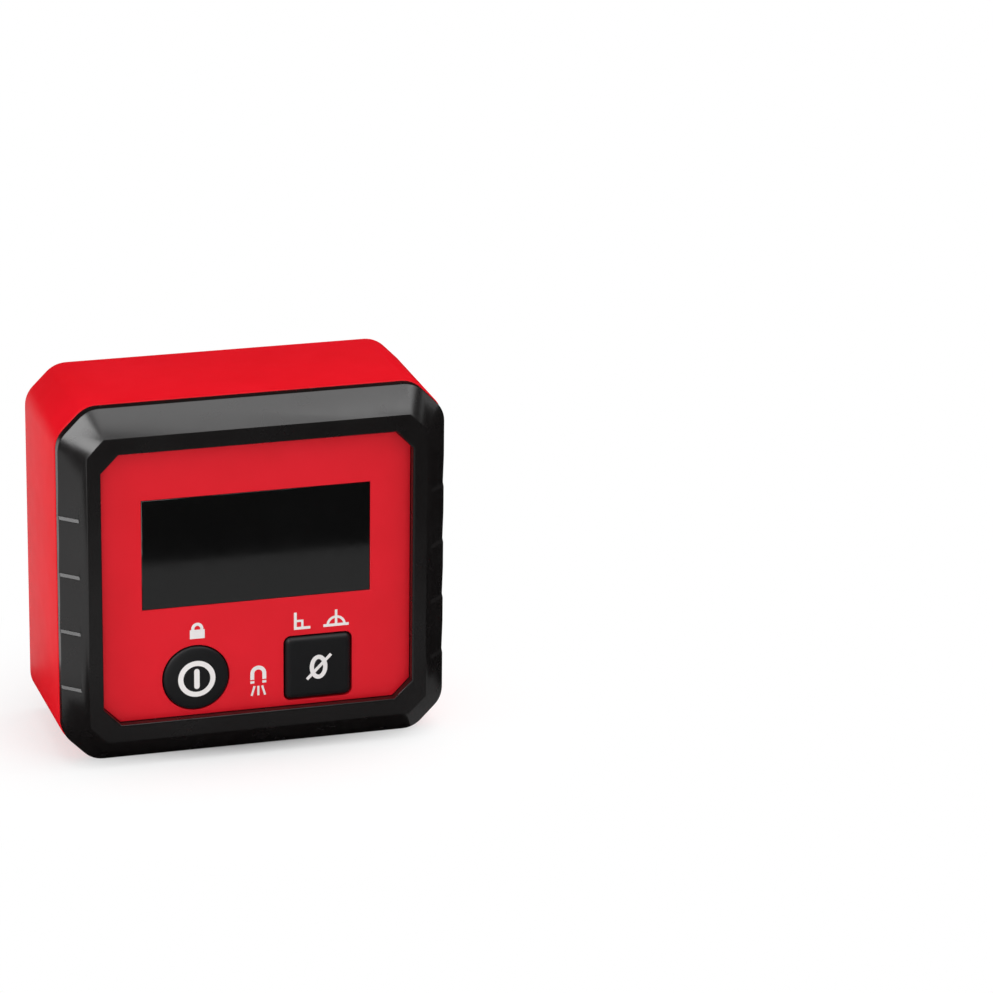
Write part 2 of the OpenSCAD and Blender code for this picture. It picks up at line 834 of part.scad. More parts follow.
module controller_chip() {
    chip_h = board_room * chip_share;
    lead_w = chip_w / chip_leads / 2;
    lead_t = chip_h / 4;
    color([0.14, 0.14, 0.15])
        facing_rear(-chip_w * 1.5, y_board_back, board_z) {
            translate([-chip_w / 2, -chip_w / 2, lead_t / 2])
                cube([chip_w, chip_w, chip_h]);
            for (turn = [0:90:270], i = [0:chip_leads - 1])
                rotate(turn)
                    translate([chip_w / 2 - lead_w, (i + 0.25) * 2 * lead_w - chip_w / 2, 0])
                        cube([3 * lead_w, lead_w, lead_t]);
        }
}

module tilt_sensor() {
    lid_w = sensor_w * 0.8;
    sensor_h = board_room * sensor_share;
    color([0.7, 0.68, 0.6])
        facing_rear(0, y_board_back, board_z - board_h / 4) {
            translate([-sensor_w / 2, -sensor_w / 2, 0])
                cube([sensor_w, sensor_w, sensor_h * 0.75]);
            translate([-lid_w / 2, -lid_w / 2, 0])
                cube([lid_w, lid_w, sensor_h]);
        }
}

module pcb_passives() {
    pitch = 1.5 * capacitor_l;
    color([0.72, 0.6, 0.42])
        for (i = [0:capacitor_count - 1])
            block(chip_w, board_z + (i - (capacitor_count - 1) / 2) * pitch, capacitor_l,
                capacitor_l * 0.6, y_board_back, y_board_back + board_room * capacitor_share);
}

// Switch on the board behind a key
module key_switch(x) {
    color([0.2, 0.2, 0.22])
        difference() {
            block(x, key_z, switch_w, switch_w, y_switch, y_board);
            rod([x, key_z], y_switch - past, y_switch + plunger_in + key_travel + 2 * plunger_gap,
                plunger_d + 2 * plunger_gap);
        }
}

module power_switch() {
    key_switch(power_x);
}

module zero_switch() {
    key_switch(zero_x);
}

// Plunger of a switch, moved by the stem of its key
module key_plunger(x) {
    color([0.75, 0.75, 0.72])
        rod([x, key_z], y_plunger, y_switch + plunger_in, plunger_d);
}

module power_plunger() {
    key_plunger(power_x);
}

module zero_plunger() {
    key_plunger(zero_x);
}

// Cell that lies along X, with its nub towards +X on side 1 and towards -X on side -1
module cell(side) {
    color([0.25, 0.3, 0.35])
        translate([side * nub_x, y_cell, bay_z + side * cell_rise])
            rotate([0, side * 90, 0])
                rotate_extrude()
                    polygon([
                        [0, 0], [nub_d / 2, 0], [nub_d / 2, -nub_l], [cell_d / 2 - root, -nub_l],
                        [cell_d / 2, -nub_l - root], [cell_d / 2, root - cell_l],
                        [cell_d / 2 - root, -cell_l], [0, -cell_l]
                    ]);
}

module battery_upper() {
    cell(1);
}

module battery_lower() {
    cell(-1);
}

// Contact plate at the bay's +X end, reaching from z0 to z1
module contact_plate(z0, z1) {
    translate([plate_x, y_cell - contact_w / 2, z0])
        cube([contact_t, contact_w, z1 - z0]);
}

// Raised dimple that meets the nub of a cell at height z
module contact_dimple(z) {
    translate([plate_x - dimple_h, y_cell, z])
        rotate([0, 90, 0])
            cylinder(h = dimple_h + contact_t / 2, d1 = nub_d * 0.8, d2 = nub_d * 1.4);
}

// Conical spring that meets the flat end of a cell at height z
module contact_spring(z) {
    rings = ceil(spring_turns * 14);
    sides = 8;
    translate([plate_x, y_cell, z])
        mirror([1, 0, 0])
            polyhedron(
                coil_points(spring_l - spring_wire / 2, spring_d, spring_tip_d, spring_wire,
                    spring_turns, rings, sides),
                tube_faces(rings, sides));
}

// Tail from a contact plate through the bay's floor to the circuit board
module contact_tail(z) {
    translate([plate_x, y_board_back, z - tail_w / 2])
        cube([contact_t, y_cell - y_board_back, tail_w]);
}

module contact_positive() {
    z = bay_z + cell_rise;
    color("silver") {
        contact_plate(z - contact_h / 2, z + contact_h / 2);
        contact_dimple(z);
        contact_tail(z);
    }
}

module contact_negative() {
    z = bay_z - cell_rise;
    color("silver") {
        contact_plate(z - contact_h / 2, z + contact_h / 2);
        contact_spring(z);
        contact_tail(z);
    }
}

module contact_bridge() {
    color("silver")
        mirror([1, 0, 0]) {
            contact_plate(bay_z - cell_rise - contact_h / 2, bay_z + cell_rise + contact_h / 2);
            contact_spring(bay_z + cell_rise);
            contact_dimple(bay_z - cell_rise);
        }
}

module battery_door() {
    color([0.75, 0.08, 0.12])
        difference() {
            union() {
                slab(y_door, y_rear)
                    door_outline(0);
                block(0, bay_z, bay_l - 2 * door_gap, bay_h - 2 * door_gap,
                    y_door - spigot_l, y_door + root);
            }
            block(0, bay_z, bay_l - 2 * (door_gap + spigot_t), bay_h - 2 * (door_gap + spigot_t),
                y_door - spigot_l - past, y_door);
            for (side = [-1, 1])
                facing_rear(0, y_rear, bay_z + side * door_screw_z)
                    sunk_hole(door_t + past, screw_gap);
        }
}

module door_screws() {
    color("silver")
        for (side = [-1, 1])
            facing_rear(0, y_rear, bay_z + side * door_screw_z)
                sunk_screw(door_t + small_screw_grip);
}

// Centre of magnet i along X
function magnet_x(i) = (i - 2.5) * magnet_pitch;

module base_plate() {
    color([0.72, 0.73, 0.75])
        difference() {
            translate([0, y_base, 0])
                linear_extrude(base_t)
                    round_rect(base_w, base_l, base_r);
            for (i = [1:4])
                translate([magnet_x(i), y_base, -past])
                    cylinder(h = past + magnet_recess + magnet_t, d = magnet_d + 2 * magnet_gap);
            for (side = [-1, 1])
                translate([side * base_screw_x, y_base, 0])
                    mirror([0, 0, 1])
                        sunk_hole(base_t + past, screw_gap);
        }
}

// Disc magnet in the base plate
module magnet(i) {
    color([0.6, 0.6, 0.62])
        translate([magnet_x(i), y_base, magnet_recess])
            cylinder(h = magnet_t, d = magnet_d);
}

module base_screws() {
    color("silver")
        for (side = [-1, 1])
            translate([side * base_screw_x, y_base, 0])
                mirror([0, 0, 1])
                    sunk_screw(base_t + small_screw_grip);
}

module case_screws() {
    color("silver")
        for (spot = screw_spots)
            facing_rear(spot[0], y_seat, spot[1])
                pan_screw(screw_d, screw_seat + screw_grip, screw_head_d, screw_head_h);
}

rear_housing();
front_bezel();
face_panel();
display_lens();
power_button();
zero_button();
lcd_cell();
lcd_frame();
light_guide();
backlight_leds();
zebra_upper();
zebra_lower();
main_pcb();
pcb_screws();
controller_chip();
tilt_sensor();
pcb_passives();
power_switch();
power_plunger();
zero_switch();
zero_plunger();
battery_upper();
battery_lower();
contact_positive();
contact_negative();
contact_bridge();
battery_door();
door_screws();
base_plate();
magnet(1);  // magnet_1
magnet(2);  // magnet_2
magnet(3);  // magnet_3
magnet(4);  // magnet_4
base_screws();
case_screws();
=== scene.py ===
"""Looks of the digital angle gauge: softened edges, printed signs, materials, studio light and camera.

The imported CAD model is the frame. Lengths are in metres, with MM for small sizes, and places come
from the frame's nodes wherever a node carries the piece.
"""

import json
import math

import bmesh
import bpy
from mathutils import Matrix, Vector
from mathutils.bvhtree import BVHTree


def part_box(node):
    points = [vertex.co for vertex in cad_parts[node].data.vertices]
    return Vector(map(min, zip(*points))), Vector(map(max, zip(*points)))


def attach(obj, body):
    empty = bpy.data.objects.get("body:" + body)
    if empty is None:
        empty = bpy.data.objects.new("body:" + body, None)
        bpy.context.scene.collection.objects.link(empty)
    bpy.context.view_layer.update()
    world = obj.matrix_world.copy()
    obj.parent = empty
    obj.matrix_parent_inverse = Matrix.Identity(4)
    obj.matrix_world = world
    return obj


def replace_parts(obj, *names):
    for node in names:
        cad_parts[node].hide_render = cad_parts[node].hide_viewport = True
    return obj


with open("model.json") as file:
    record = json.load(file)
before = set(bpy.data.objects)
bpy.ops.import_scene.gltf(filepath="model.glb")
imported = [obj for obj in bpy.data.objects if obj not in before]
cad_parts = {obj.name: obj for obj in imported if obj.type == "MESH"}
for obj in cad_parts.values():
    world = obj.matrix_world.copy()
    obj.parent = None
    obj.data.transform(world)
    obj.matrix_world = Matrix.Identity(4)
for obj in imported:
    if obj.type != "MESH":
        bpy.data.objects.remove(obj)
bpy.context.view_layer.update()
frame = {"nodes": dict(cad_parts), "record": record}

MM = 0.001

# Camera, fitted to the photograph's edges
PHOTO_PX = 993
FOCAL_PX = 5018.2
SENSOR = 36.0
CAMERA_PLACE = Vector((-0.18039, -0.73297, 0.30225))
CAMERA_AZIMUTH = -16.9635
CAMERA_ELEVATION = 19.2505
CAMERA_ROLL = 0.714

# Studio: the floor turns from shaded paper to plain white between the two fade distances. The near
# one is below zero, so that a little white shows even at the gauge
FLOOR_SIZE = 6.0
FLOOR_COLOUR = (0.93, 0.93, 0.93, 1.0)
FLOOR_ROUGHNESS = 0.9
FADE_NEAR = -0.015
FADE_FAR = 0.062
WORLD_FILL = 0.3
WHITE = (1, 1, 1, 1)

# The cards glow with their shades as painted reflections
# Cards that only gloss shows, laid on the floor between these places, and a band round the studio
FLAG_FAR_Y = -0.0998
FLAG_MIDDLE_Y = -0.05
FLAG_NEAR_Y = -0.022
FLAG_BACK_Y = 0.03
FLAG_LEFT_X = -0.05
FLAG_CORNER_X = 0.026
FLAG_RIGHT_X = 0.045
FLAG_REACH = 1.5
FLAG_LIFT = 0.0005
BAND_RADIUS = 1.0
BAND_HEIGHT = 1.4
BAND_SIDES = 48

# Unevenness of surfaces: sizes of the patches, and how far gloss swings about its middle
NOISE_LOW = 0.3
NOISE_HIGH = 0.7
MOULD_TINT = 9 * MM
MOULD_GLOSS = 4 * MM
MOULD_SWING = 0.02
METAL_TINT = 3 * MM
METAL_SWING = 0.06
POLISH_TINT = 12 * MM
POLISH_DUST = 1.5 * MM
POLISH_SWING = 0.2
POLISH_WAVE = 8 * MM
POLISH_WAVE_DEPTH = 0.002 * MM
JACKET_DARK = (0.03, 0.035, 0.045)
JACKET_LIGHT = (0.05, 0.055, 0.07)
JACKET_BAND = (0.55, 0.3, 0.14)
JACKET_REACH = 9 * MM
JACKET_TINT = 5 * MM
JACKET_GLOSS = 2 * MM
JACKET_DEPTH = 0.001 * MM
JACKET_METALLIC = 0.6
JACKET_ROUGHNESS = (0.26, 0.36)

# Edge softening
WELD = 0.002 * MM
FLAT_ANGLE = math.radians(0.5)
EDGE_ANGLE = math.radians(28)
SHELL_EDGE = 0.2 * MM
METAL_EDGE = 0.15 * MM
LIP_EDGE = 0.34 * MM
RIDGE_EDGE = 0.12 * MM
GRIP_EDGE = 0.08 * MM
PANEL_EDGE = 0.08 * MM
ROUND_STEPS = 3
ROUND_PROFILE = 0.5
BEZEL_PROFILE = 0.3
DOOR_SCREW_REACH = 3 * MM
BASE_HOLE_REACH = 5 * MM
RECESS_DEPTH = 1.1 * MM

# Printed signs
INK = 0.02 * MM
INK_STEP = 0.003 * MM
INK_SUNK = 0.02 * MM
ARC_STEP = 7.5
LOOK_AHEAD = 10 * MM

# Places on the frame
panel_low, panel_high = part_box("face_panel")
PANEL_Y = panel_low.y
PANEL_Z = (panel_low.z + panel_high.z) / 2
TOUCH = 0.01 * MM
OPENING_MARGIN = 0.2 * MM
OPENING_X = panel_high.x + OPENING_MARGIN
OPENING_Z = panel_high.z - PANEL_Z + OPENING_MARGIN
FRONT_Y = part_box("front_bezel")[0].y
SPLIT_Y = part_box("rear_housing")[0].y
base_low, base_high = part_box("base_plate")
BASE_Y = (base_low.y + base_high.y) / 2


def middle(node):
    low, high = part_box(node)
    return (low + high) / 2


# Materials

def new_material(name):
    made = bpy.data.materials.new(name)
    made.use_nodes = True
    return made, made.node_tree, made.node_tree.nodes["Principled BSDF"]


def add_node(tree, kind, **inputs):
    node = tree.nodes.new(kind)
    for key, value in inputs.items():
        node.inputs[key.replace("_", " ")].default_value = value
    return node


def place_in_space(tree):
    return add_node(tree, "ShaderNodeTexCoord").outputs["Object"]


def noise(tree, size, detail=2.0, stretch=(1, 1, 1)):
    """Noise whose grains are about the given size, drawn out along the axes by stretch."""
    scaled = add_node(tree, "ShaderNodeMapping")
    scaled.inputs["Scale"].default_value = [1 / share for share in stretch]
    tree.links.new(place_in_space(tree), scaled.inputs["Vector"])
    made = add_node(tree, "ShaderNodeTexNoise", Scale=1 / size, Detail=detail)
    tree.links.new(scaled.outputs["Vector"], made.inputs["Vector"])
    return made.outputs["Fac"]


def spread(tree, source, low, high):
    """The middle part of a noise, spread over a range."""
    made = add_node(tree, "ShaderNodeMapRange", From_Min=NOISE_LOW, From_Max=NOISE_HIGH,
                    To_Min=low, To_Max=high)
    tree.links.new(source, made.inputs["Value"])
    return made.outputs["Result"]


def tint(tree, shader, source, dark, light):
    """Base colour that wanders between two colours."""
    ramp = add_node(tree, "ShaderNodeValToRGB")
    stops = ((NOISE_LOW, dark), (NOISE_HIGH, light))
    for element, (place, colour) in zip(ramp.color_ramp.elements, stops):
        element.position = place
        element.color = (*colour, 1)
    tree.links.new(source, ramp.inputs["Fac"])
    tree.links.new(ramp.outputs["Color"], shader.inputs["Base Color"])


def bump(tree, shader, source, depth):
    made = add_node(tree, "ShaderNodeBump", Strength=1.0, Distance=depth)
    tree.links.new(source, made.inputs["Height"])
    tree.links.new(made.outputs["Normal"], shader.inputs["Normal"])


def moulded(name, dark, light, roughness, grain=0.3 * MM, depth=0.002 * MM, specular=0.5):
    """Moulded plastic or rubber: a fine sparked grain and slightly uneven gloss and colour."""
    made, tree, shader = new_material(name)
    shader.inputs["Specular IOR Level"].default_value = specular
    tint(tree, shader, noise(tree, MOULD_TINT), dark, light)
    uneven = spread(tree, noise(tree, MOULD_GLOSS, 3.0), roughness - MOULD_SWING, roughness + MOULD_SWING)
    tree.links.new(uneven, shader.inputs["Roughness"])
    bump(tree, shader, noise(tree, grain, 3.0), depth)
    return made


def metal(name, dark, light, roughness, lay=(1, 1, 1), grain=0.3 * MM, depth=0.001 * MM):
    """Plated or machined metal with fine lines along the axis that lay draws out."""
    made, tree, shader = new_material(name)
    shader.inputs["Metallic"].default_value = 1.0
    tint(tree, shader, noise(tree, METAL_TINT, 3.0), dark, light)
    lines = noise(tree, grain, 3.0, lay)
    uneven = spread(tree, lines, roughness - METAL_SWING, roughness + METAL_SWING)
    tree.links.new(uneven, shader.inputs["Roughness"])
    bump(tree, shader, lines, depth)
    return made


def polished(name, dark, light, roughness, specular=0.5):
    """Smooth glossy surface with faint waviness and dust."""
    made, tree, shader = new_material(name)
    shader.inputs["Specular IOR Level"].default_value = specular
    tint(tree, shader, noise(tree, POLISH_TINT), dark, light)
    dust = spread(tree, noise(tree, POLISH_DUST, 4.0), roughness * (1 - POLISH_SWING),
                  roughness * (1 + POLISH_SWING))
    tree.links.new(dust, shader.inputs["Roughness"])
    bump(tree, shader, noise(tree, POLISH_WAVE, 1.0), POLISH_WAVE_DEPTH)
    return made


def colour_mix(tree, factor):
    """Node that goes from colour A to colour B with a factor."""
    made = add_node(tree, "ShaderNodeMix")
    made.data_type = "RGBA"
    tree.links.new(factor, made.inputs["Factor"])
    return made


def banded_jacket(name):
    """Printed cell jacket, dark with a band of another colour past a distance from the middle."""
    made, tree, shader = new_material(name)
    shader.inputs["Metallic"].default_value = JACKET_METALLIC
    split = add_node(tree, "ShaderNodeSeparateXYZ")
    tree.links.new(place_in_space(tree), split.inputs["Vector"])
    past = add_node(tree, "ShaderNodeMath")
    past.operation = "GREATER_THAN"
    past.inputs[1].default_value = JACKET_REACH
    tree.links.new(split.outputs["X"], past.inputs[0])
    wander = colour_mix(tree, noise(tree, JACKET_TINT))
    wander.inputs["A"].default_value = (*JACKET_DARK, 1)
    wander.inputs["B"].default_value = (*JACKET_LIGHT, 1)
    ends = colour_mix(tree, past.outputs["Value"])
    ends.inputs["B"].default_value = (*JACKET_BAND, 1)
    tree.links.new(wander.outputs["Result"], ends.inputs["A"])
    tree.links.new(ends.outputs["Result"], shader.inputs["Base Color"])
    uneven = spread(tree, noise(tree, JACKET_GLOSS), *JACKET_ROUGHNESS)
    tree.links.new(uneven, shader.inputs["Roughness"])
    bump(tree, shader, noise(tree, JACKET_GLOSS), JACKET_DEPTH)
    return made


MATERIALS = {
    "red_case": moulded("red_case", (0.69, 0.002, 0.009), (0.73, 0.003, 0.012), 0.42, grain=0.8 * MM,
                        depth=0.001 * MM, specular=0.08),
    "bezel": moulded("bezel", (0.006, 0.005, 0.005), (0.008, 0.007, 0.007), 0.26, grain=0.25 * MM,
                     depth=0.003 * MM),
    "red_face": moulded("red_face", (0.63, 0.005, 0.014), (0.67, 0.006, 0.017), 0.45, specular=0.18),
    "lens": polished("lens", (0.001, 0.001, 0.001), (0.002, 0.002, 0.002), 0.07, specular=0.87),
    "keys": moulded("keys", (0.005, 0.005, 0.006), (0.007, 0.007, 0.008), 0.5, specular=0.32),
    "display_glass": polished("display_glass", (0.24, 0.28, 0.23), (0.3, 0.34, 0.28), 0.05),
    "inner_plastic": moulded("inner_plastic", (0.02, 0.02, 0.022), (0.035, 0.035, 0.037), 0.5),
    "light_guide": polished("light_guide", (0.78, 0.82, 0.78), (0.86, 0.88, 0.85), 0.1),
    "zebra": moulded("zebra", (0.2, 0.16, 0.18), (0.3, 0.24, 0.26), 0.7),
    "board": moulded("board", (0.012, 0.12, 0.04), (0.02, 0.17, 0.06), 0.35),
    "passives": moulded("passives", (0.4, 0.29, 0.17), (0.5, 0.37, 0.23), 0.45),
    "screw_steel": metal("screw_steel", (0.5, 0.5, 0.5), (0.6, 0.6, 0.62), 0.32),
    # Dark metal that paints the shade inside the screws' driver recesses
    "recess": metal("recess", (0.03, 0.03, 0.03), (0.05, 0.05, 0.05), 0.5),
    "contact_metal": metal("contact_metal", (0.6, 0.58, 0.54), (0.7, 0.68, 0.63), 0.25),
    "base_metal": metal("base_metal", (0.58, 0.59, 0.6), (0.68, 0.69, 0.7), 0.36, lay=(30, 1, 1),
                        depth=0.004 * MM),
    "magnets": metal("magnets", (0.55, 0.55, 0.55), (0.64, 0.63, 0.62), 0.2),
    "ink": moulded("ink", (0.70, 0.68, 0.67), (0.76, 0.74, 0.73), 0.55, depth=0.001 * MM),
}
JACKETS = {"battery_" + side: banded_jacket("jacket_" + side) for side in ("upper", "lower")}


def paint(piece, made):
    piece.data.materials.clear()
    piece.data.materials.append(made)


# CAD nodes with their own shape

body_of = {node: body for body, nodes in frame["record"]["behaviour"]["bodies"].items() for node in nodes}
slot_of = {part["node"]: part["material_slot"] for part in frame["record"]["subparts"]}


def look_of(node):
    """A cell has its own jacket, and any other node the look of its material slot."""
    return JACKETS.get(node) or MATERIALS[slot_of[node]]


for cad_node in frame["nodes"]:
    paint(frame["nodes"][cad_node], look_of(cad_node))


# CAD nodes shown with softened edges

def clean_copy(node):
    """Mesh of a CAD node with its flat faces joined and its hard edges marked."""
    work = bmesh.new()
    work.from_mesh(frame["nodes"][node].data)
    bmesh.ops.remove_doubles(work, verts=work.verts, dist=WELD)
    bmesh.ops.dissolve_limit(work, angle_limit=FLAT_ANGLE, verts=work.verts, edges=work.edges)
    for face in work.faces:
        face.smooth = True
    for edge in work.edges:
        edge.smooth = edge.is_manifold and edge.calc_face_angle() < EDGE_ANGLE
    mesh = bpy.data.meshes.new(node)
    work.to_mesh(mesh)
    work.free()
    if "custom_normal" in mesh.attributes:
        mesh.attributes.remove(mesh.attributes["custom_normal"])
    return mesh


def show(piece, body):
    bpy.context.scene.collection.objects.link(piece)
    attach(piece, body)
    return piece


def smooth_copy(node, name):
    """The node's shape with smooth shading, shown in its place."""
    piece = bpy.data.objects.new(name, clean_copy(node))
    paint(piece, look_of(node))
    show(piece, body_of[node])
    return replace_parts(piece, node)


def round_edges(piece, largest, radius_of, profile=ROUND_PROFILE):
    """Rounds hard edges, each by the radius that radius_of gives for its two ends."""
    mesh = piece.data
    weights = mesh.attributes.new("bevel_weight_edge", "FLOAT", "EDGE")
    sharp = mesh.attributes["sharp_edge"].data
    for edge in mesh.edges:
        if sharp[edge.index].value:
            ends = [mesh.vertices[i].co for i in edge.vertices]
            weights.data[edge.index].value = radius_of(*ends) / largest
    rounding = piece.modifiers.new("rounding", "BEVEL")
    rounding.width = largest
    rounding.segments = ROUND_STEPS
    rounding.profile = profile
    rounding.limit_method = "WEIGHT"
    rounding.use_clamp_overlap = False
    rounding.harden_normals = True


def on_plane(axis, value, radius):
    """Radius for edges that lie in a plane, and none for the others."""
    def radius_of(one, other):
        return radius if max(abs(one[axis] - value), abs(other[axis] - value)) < TOUCH else 0.0
    return radius_of


def make_case():
    low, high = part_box("rear_housing")
    rear = on_plane(1, high.y, SHELL_EDGE)
    under = on_plane(2, low.z, SHELL_EDGE)
    shell = smooth_copy("rear_housing", "housing_shell")
    round_edges(shell, SHELL_EDGE, lambda one, other: max(rear(one, other), under(one, other)))
    round_edges(smooth_copy("battery_door", "door_cover"), SHELL_EDGE,
                lambda one, other: 0.0 if near_door_screw(one, other) else rear(one, other))
    foot = on_plane(2, 0, METAL_EDGE)
    round_edges(smooth_copy("base_plate", "base_bar"), METAL_EDGE,
                lambda one, other: 0.0 if near_base_hole(one, other) else foot(one, other))


def near_door_screw(one, other):
    return max(abs(one.x), abs(other.x)) < DOOR_SCREW_REACH


def near_base_hole(one, other):
    return max(abs(one.y - BASE_Y), abs(other.y - BASE_Y)) < BASE_HOLE_REACH


def make_screws():
    """Screws with painted shade in the driver recess, from the top of the head to the recess's floor."""
    for node, name, axis, corner in (
        ("door_screws", "door_screw_pair", 1, 1),
        ("case_screws", "case_screw_set", 1, 1),
        ("base_screws", "base_screw_pair", 2, 0),
    ):
        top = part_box(node)[corner][axis]
        piece = smooth_copy(node, name)
        # The recess faces get the dark metal: painted shade where the recess lies in shadow
        piece.data.materials.append(MATERIALS["recess"])
        for face in piece.data.polygons:
            if TOUCH < abs(face.center[axis] - top) < RECESS_DEPTH:
                face.material_index = 1


def bezel_radius(one, other):
    """Lip of the panel's opening, ridge round the flat face, then the rim and the grips."""
    inside = max(abs(one.x), abs(other.x)) < OPENING_X and \
        max(abs(one.z - PANEL_Z), abs(other.z - PANEL_Z)) < OPENING_Z
    if max(one.y, other.y) < FRONT_Y + TOUCH:
        return LIP_EDGE if inside else RIDGE_EDGE
    return GRIP_EDGE if not inside and max(one.y, other.y) < SPLIT_Y - TOUCH else 0.0


def make_front():
    round_edges(smooth_copy("front_bezel", "bezel_rim"), LIP_EDGE, bezel_radius,
                profile=BEZEL_PROFILE)
    flush = on_plane(1, PANEL_Y, PANEL_EDGE)
    round_edges(smooth_copy("face_panel", "panel_plate"), PANEL_EDGE, flush)
    round_edges(smooth_copy("display_lens", "lens_plate"), PANEL_EDGE, flush)
    return {"power": smooth_copy("power_button", "power_cap"),
            "zero": smooth_copy("zero_button", "zero_cap")}


make_case()
make_screws()
front = make_front()
for cell_node in JACKETS:
    smooth_copy(cell_node, cell_node.replace("battery", "cell"))


# Printed signs

def arc(centre, across, up, start, end):
    """Points of an elliptic arc, angles in degrees from the right."""
    steps = max(2, round(abs(end - start) / ARC_STEP))
    turns = [math.radians(start + (end - start) * i / steps) for i in range(steps + 1)]
    return [Vector((centre[0] + across * math.cos(t), centre[1] + up * math.sin(t))) for t in turns]


def line(start, end, steps=8):
    first = Vector(start)
    return [first.lerp(Vector(end), i / steps) for i in range(steps + 1)]


def flat_ends(path, width):
    return [(point, width / 2) for point in path]


def round_ends(path, width, steps=6):
    """Stroke whose two ends are half circles."""
    half = width / 2
    first_out = (path[0] - path[1]).normalized()
    last_out = (path[-1] - path[-2]).normalized()
    turns = [math.radians(90 * i / steps) for i in range(1, steps)]
    head = [(path[0] + first_out * half * math.sin(t), half * math.cos(t)) for t in reversed(turns)]
    tail = [(path[-1] + last_out * half * math.sin(t), half * math.cos(t)) for t in turns]
    return head + flat_ends(path, width) + tail


def loop(path, width):
    """Closed stroke, from a path whose last point repeats its first."""
    return flat_ends(path[:-1], width)


def add_stroke(work, stations, closed, centre, surface, level):
    """Thin raised stroke along stations of a point and a half width, laid on a surface."""
    top = INK + INK_STEP * level
    count = len(stations)
    rings = []
    for i, (point, half) in enumerate(stations):
        before = stations[i - 1][0] if closed or i else point
        after = stations[(i + 1) % count][0] if closed or i + 1 < count else point
        along = (after - before).normalized()
        side = Vector((-along.y, along.x)) * half
        ring = []
        for spot, lift in ((point + side, -top), (point - side, -top),
                           (point - side, INK_SUNK), (point + side, INK_SUNK)):
            place = centre + spot * MM
            ring.append(work.verts.new((place.x, surface(place) + lift, place.y)))
        rings.append(ring)
    for i in range(count if closed else count - 1):
        here = rings[i]
        there = rings[(i + 1) % count]
        for k in range(4):
            work.faces.new((here[k], here[(k + 1) % 4], there[(k + 1) % 4], there[k]))
    if not closed:
        work.faces.new(rings[0])
        work.faces.new(rings[-1])


def print_sign(name, strokes, centre, surface, body):
    """One printed sign, from strokes in millimetres about a centre of X and Z."""
    work = bmesh.new()
    for level, (stations, closed) in enumerate(strokes):
        add_stroke(work, stations, closed, Vector(centre), surface, level)
    bmesh.ops.recalc_face_normals(work, faces=work.faces)
    mesh = bpy.data.meshes.new(name)
    work.to_mesh(mesh)
    work.free()
    piece = bpy.data.objects.new(name, mesh)
    paint(piece, MATERIALS["ink"])
    return show(piece, body)


def crown_of(piece):
    """Height of a key's front surface, found by looking at it along +Y."""
    tree = BVHTree.FromObject(piece, bpy.context.evaluated_depsgraph_get())
    ahead = PANEL_Y - LOOK_AHEAD

    def surface(place):
        return tree.ray_cast(Vector((place.x, ahead, place.y)), Vector((0, 1, 0)))[0].y
    return surface


def padlock():
    body = flat_ends(line((-1.2, -0.62), (1.2, -0.62)), 1.5)
    bow = flat_ends([Vector((-0.72, 0)), *arc((0, 0.3), 0.72, 0.75, 180, 0), Vector((0.72, 0))], 0.5)
    return [(body, False), (bow, False)]


def power_sign():
    ring = loop(arc((0, 0), 2.6, 2.6, 0, 360), 0.84)
    bar = round_ends(line((0, -1.25), (0, 1.25)), 0.88)
    return [(ring, True), (bar, False)]


def slashed_zero():
    oval = loop(arc((0, 0), 1.1, 1.68, 0, 360), 0.7)
    slash = flat_ends(line((-1.9, -1.95), (2.05, 2.0)), 0.5)
    return [(oval, True), (slash, False)]


def try_square():
    upright = flat_ends(line((-1.1, -1.38), (-1.1, 1.5)), 0.46)
    foot = flat_ends(line((-1.33, -1.18), (1.35, -1.18)), 0.44)
    top = flat_ends(line((-1.1, 0.05), (0.22, 0.05)), 0.36)
    side = flat_ends(line((0.04, 0.2), (0.04, -1.2)), 0.36)
    return [(upright, False), (foot, False), (top, False), (side, False)]


def protractor():
    base = flat_ends(line((-2.08, -1.2), (2.08, -1.2)), 0.46)
    bow = flat_ends(arc((0, -1.2), 1.38, 1.36, 0, 180), 0.4)
    needle = flat_ends(line((0, -1.2), (0, 1.35)), 0.4)
    return [(base, False), (bow, False), (needle, False)]


def horseshoe():
    bend = [Vector((-0.98, -0.05)), *arc((0, 0.98), 0.98, 0.98, 180, 0), Vector((0.98, -0.05))]
    strokes = [(flat_ends(bend, 0.64), False)]
    for side in (-1, 1):
        strokes.append((flat_ends(line((0.98 * side, -0.28), (0.98 * side, -0.68)), 0.64), False))
    for side in (-1, 0, 1):
        strokes.append((flat_ends(line((0.62 * side, -1.15), (1.1 * side, -2.75)), 0.34), False))
    return strokes


def panel_face(place):
    """The panel is flat, so its surface is the same at every place."""
    return PANEL_Y


def print_signs():
    """Signs of the panel, placed in millimetres from its middle, and one on each key."""
    power = middle("power_button")
    zero = middle("zero_button")
    for name, strokes, x, z in (
        ("print_padlock", padlock(), -9.66, -8.2),
        ("print_try_square", try_square(), 7.38, -8.25),
        ("print_protractor", protractor(), 12.95, -8.2),
        ("print_magnet", horseshoe(), 0.2, -17.4),
    ):
        print_sign(name, strokes, (x * MM, PANEL_Z + z * MM), panel_face, "case")
    print_sign("print_power", power_sign(), (power.x, power.z), crown_of(front["power"]), "power_key")
    print_sign("print_zero", slashed_zero(), (zero.x, zero.z), crown_of(front["zero"]), "zero_key")


print_signs()


# Floor, surroundings, world and lights

def flat_sheet(name, x0, x1, y0, y1, z):
    mesh = bpy.data.meshes.new(name)
    mesh.from_pydata([(x0, y0, z), (x1, y0, z), (x1, y1, z), (x0, y1, z)], [], [(0, 1, 2, 3)])
    sheet = bpy.data.objects.new(name, mesh)
    bpy.context.scene.collection.objects.link(sheet)
    return sheet


